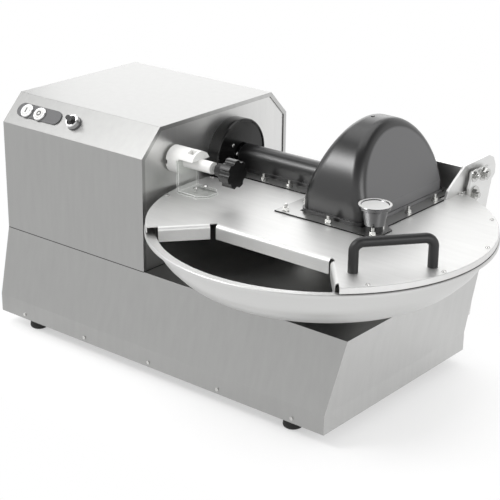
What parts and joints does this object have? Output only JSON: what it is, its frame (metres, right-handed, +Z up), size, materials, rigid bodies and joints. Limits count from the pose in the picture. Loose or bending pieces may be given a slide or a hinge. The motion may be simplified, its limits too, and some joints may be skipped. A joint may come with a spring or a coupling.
{
  "type": "meat bowl cutter",
  "caption": "Table-top meat bowl cutter: a turning bowl under a hinged half lid, with a domed knife cover, belt-driven knife shaft and motor housing.",
  "frame": {"origin": "on the floor under the middle of the machine's outline (centre of the bounding box, at the underside of the feet)", "axes": "+X from the motor housing towards the bowl, along the knife shaft and the front face; +Y from the operating side to the lid hinge; +Z up"},
  "size_m": [0.9774, 0.7036, 0.4958],
  "materials": {
    "stainless_sheet": "brushed",
    "stainless_turned": "satin",
    "stainless_polished": "polished",
    "steel_hardware": "bright",
    "ground_steel": "ground",
    "blade_steel": "ground",
    "chrome": "bright",
    "black_cover": "moulded, semi-gloss",
    "black_plastic": "moulded",
    "dark_panel": "satin",
    "white_plastic": "machined",
    "clear_plastic": "clear sheet",
    "button_green": "moulded",
    "button_grey": "moulded",
    "rubber": "moulded",
    "motor_paint": "semi-gloss",
    "cast_aluminium": "as cast",
    "cast_iron": "turned and cast"
  },
  "bodies": {
    "machine": {"base_cabinet": "stainless_sheet", "base_bottom_plate": "stainless_sheet", "cabinet_screws": "steel_hardware", "rubber_feet": "rubber", "housing_cover": "stainless_sheet", "housing_side_panel": "stainless_sheet", "hub_collar": "black_plastic", "front_bearing": "cast_iron", "rear_bearing": "cast_iron", "bearing_stand": "motor_paint", "shaft_sleeve": "ground_steel", "drive_motor": "motor_paint", "motor_mount": "ground_steel", "drive_belts": "rubber", "gearbox_case": "cast_aluminium", "bowl_motor": "motor_paint", "deck_seal": "black_plastic", "hinge_support_right": "stainless_sheet", "hinge_support_left": "stainless_sheet", "hinge_bolts_right": "steel_hardware", "hinge_bolts_left": "steel_hardware", "control_plate": "dark_panel", "button_bezels": "chrome", "selector_bezel": "chrome", "switch_blocks": "black_plastic", "cable_gland": "black_plastic"},
    "knife_shaft_set": {"knife_shaft": "ground_steel", "knife_spacers": "ground_steel", "knife_nut": "ground_steel", "knife_pulley": "cast_iron", "knife_1": "blade_steel", "knife_2": "blade_steel", "knife_3": "blade_steel"},
    "motor_rotor_set": {"motor_rotor": "cast_iron"},
    "bowl_set": {"bowl": "stainless_turned", "bowl_hub": "ground_steel", "bowl_spindle": "ground_steel", "bowl_nut": "steel_hardware"},
    "lid": {"lid_plate": "stainless_sheet", "lid_glide_ring": "white_plastic", "lid_screws": "steel_hardware", "cover_base_plate": "stainless_polished", "knife_cover": "black_cover", "shaft_cover": "black_cover", "cover_studs": "steel_hardware", "cover_nuts": "steel_hardware", "clamp_bush": "black_plastic", "lid_handle": "black_plastic", "gusset_right": "stainless_sheet", "gusset_left": "stainless_sheet", "lid_cross_member": "stainless_polished", "interlock_bracket": "clear_plastic", "bracket_screws": "steel_hardware", "interlock_body": "white_plastic"},
    "clamp": {"clamp_knob": "chrome"},
    "interlock_plunger": {"interlock_pin": "chrome"},
    "interlock_star": {"star_knob": "black_plastic"},
    "selector": {"selector_knob": "black_plastic"},
    "start": {"start_button": "button_green"},
    "stop": {"stop_button": "button_grey"}
  },
  "joints": [
    {"name": "lid_hinge", "type": "hinge", "parent": "machine", "child": "lid", "pos_m": [0.1837, 0.2908, 0.364], "axis": [-1, 0, 0], "range_deg": [0, 92]},
    {"name": "bowl_spin", "type": "hinge", "parent": "machine", "child": "bowl_set", "pos_m": [0.1837, -0.0468, 0.195], "axis": [0, 0, 1], "continuous": true},
    {"name": "knife_spin", "type": "hinge", "parent": "machine", "child": "knife_shaft_set", "pos_m": [0.1983, 0.0888, 0.364], "axis": [1, 0, 0], "continuous": true},
    {"name": "motor_spin", "type": "hinge", "parent": "machine", "child": "motor_rotor_set", "pos_m": [-0.4347, -0.0172, 0.115], "axis": [1, 0, 0], "continuous": true},
    {"name": "clamp_turn", "type": "hinge", "parent": "lid", "child": "clamp", "pos_m": [0.2868, -0.0372, 0.365], "axis": [0, 0, 1], "continuous": true},
    {"name": "interlock_slide", "type": "slide", "parent": "lid", "child": "interlock_plunger", "axis": [-1, 0, 0], "range_m": [0, 0.005]},
    {"name": "interlock_star_turn", "type": "hinge", "parent": "interlock_plunger", "child": "interlock_star", "pos_m": [0.0163, -0.0852, 0.394], "axis": [-1, 0, 0], "range_deg": [0, 1200]},
    {"name": "selector_turn", "type": "hinge", "parent": "machine", "child": "selector", "pos_m": [-0.3167, -0.14575, 0.43393], "axis": [0, -0.7143, 0.6999], "range_deg": [-60, 0]},
    {"name": "start_press", "type": "slide", "parent": "machine", "child": "start", "axis": [0, 0.7143, -0.6999], "range_m": [0, 0.004], "stiffness_N_per_m": 400, "springref_m": -0.001},
    {"name": "stop_press", "type": "slide", "parent": "machine", "child": "stop", "axis": [0, 0.7143, -0.6999], "range_m": [0, 0.004], "stiffness_N_per_m": 400, "springref_m": -0.001}
  ],
  "couplings": [
    {"joint": "motor_spin", "follows": "knife_spin", "ratio": 0.7802},
    {"joint": "interlock_slide", "follows": "interlock_star_turn", "m_per_rad": 0.00023873}
  ]
}
